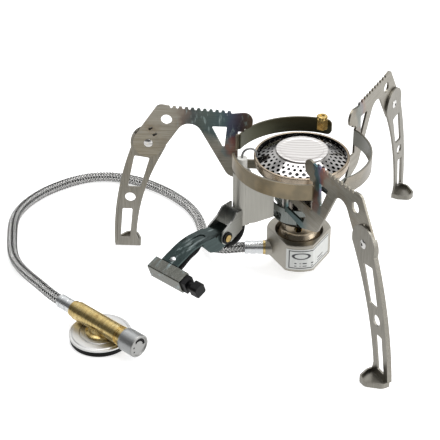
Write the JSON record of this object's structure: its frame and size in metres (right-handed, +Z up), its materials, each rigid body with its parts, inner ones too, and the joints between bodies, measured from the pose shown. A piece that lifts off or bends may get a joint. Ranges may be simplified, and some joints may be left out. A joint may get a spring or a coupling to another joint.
{
  "type": "canister stove",
  "caption": "Remote canister stove: burner on folding legs with serrated pot arms, piezo lever, braided hose and canister valve.",
  "frame": {"origin": "on the ground plane, directly below the burner's axis", "axes": "+Z up along the burner's axis, +X to the side away from the hose inlet, +Y to the back"},
  "size_m": [0.2963, 0.2492, 0.1131],
  "materials": {
    "arm_steel": "brushed stainless sheet with heat tint on the inner half",
    "leg_steel": "brushed stainless sheet",
    "rivet_steel": "bright steel",
    "cast_alloy": "satin machined alloy",
    "label_foil": "silver foil with a dark border",
    "brass": "turned brass",
    "neck_steel": "bronzed steel tube",
    "cup_steel": "spun steel",
    "burner_steel": "heat-bronzed steel",
    "screen_steel": "bright pierced steel",
    "cap_steel": "swirl-brushed bright steel",
    "sleeve_steel": "warm satin steel",
    "ceramic": "off-white glazed ceramic",
    "wire_steel": "drawn wire",
    "fork_steel": "satin steel",
    "lever_steel": "dark bright-rolled steel",
    "black_plastic": "moulded black plastic",
    "cable_rubber": "black cable sheath",
    "ferrule_steel": "crimped bright steel",
    "hose_braid": "woven stainless braid",
    "black_rubber": "moulded black rubber",
    "disc_alloy": "turned anodised alloy",
    "knob_plastic": "grey moulded plastic"
  },
  "bodies": {
    "stove": {"pot_arm_right": "arm_steel", "pot_arm_left": "arm_steel", "pot_arm_front": "arm_steel", "leg_rivets": "rivet_steel", "valve_block": "cast_alloy", "block_label": "label_foil", "jet": "brass", "mixing_tube": "neck_steel", "carrier_cup": "cup_steel", "burner_cup": "burner_steel", "burner_screen": "screen_steel", "burner_cap": "cap_steel", "cap_stud": "neck_steel", "ring_post": "brass", "electrode_sleeve": "sleeve_steel", "electrode_ceramic": "ceramic", "electrode_wire": "wire_steel", "igniter_fork": "fork_steel", "lever_pin": "brass", "pivot_washer": "black_plastic", "cable_upper": "cable_rubber", "inlet_fitting": "ferrule_steel", "inlet_ferrule": "ferrule_steel", "valve_ferrule": "ferrule_steel", "gas_hose": "hose_braid", "canister_valve": "brass", "valve_pin": "brass", "socket_ring": "black_rubber", "adapter_disc": "disc_alloy", "adapter_seal": "black_rubber"},
    "leg_right": {"leg_right": "leg_steel"},
    "leg_left": {"leg_left": "leg_steel"},
    "leg_front": {"leg_front": "leg_steel"},
    "lever": {"igniter_lever": "lever_steel", "igniter_box": "lever_steel", "box_rivet": "rivet_steel", "piezo_unit": "black_plastic", "cable_lower": "cable_rubber"},
    "button": {"igniter_button": "black_plastic"},
    "knob": {"control_knob": "knob_plastic", "valve_spindle": "brass", "spindle_ring": "black_rubber"}
  },
  "joints": [
    {"name": "leg_right_fold", "type": "hinge", "parent": "stove", "child": "leg_right", "pos_m": [0.06884, 0.07892, 0.084], "axis": [-0.8599, 0.5105, 0], "range_deg": [0, 80]},
    {"name": "leg_left_fold", "type": "hinge", "parent": "stove", "child": "leg_left", "pos_m": [-0.10174, 0.0248, 0.084], "axis": [-0.0576, -0.9983, 0], "range_deg": [0, 80], "deforming": ["gas_hose"]},
    {"name": "leg_front_fold", "type": "hinge", "parent": "stove", "child": "leg_front", "pos_m": [0.03202, -0.09971, 0.084], "axis": [0.8813, 0.4726, 0], "range_deg": [0, 80]},
    {"name": "lever_fold", "type": "hinge", "parent": "stove", "child": "lever", "pos_m": [-0.05425, -0.02161, 0.04], "axis": [-0.7373, 0.6756, 0], "range_deg": [0, 65]},
    {"name": "button_press", "type": "slide", "parent": "lever", "child": "button", "axis": [-0.7373, 0.6756, 0], "range_m": [0, 0.003], "stiffness_N_per_m": 900},
    {"name": "knob_turn", "type": "hinge", "parent": "stove", "child": "knob", "pos_m": [-0.13, -0.0825, 0.012], "axis": [0.742, -0.6704, 0], "range_deg": [0, 540]}
  ]
}
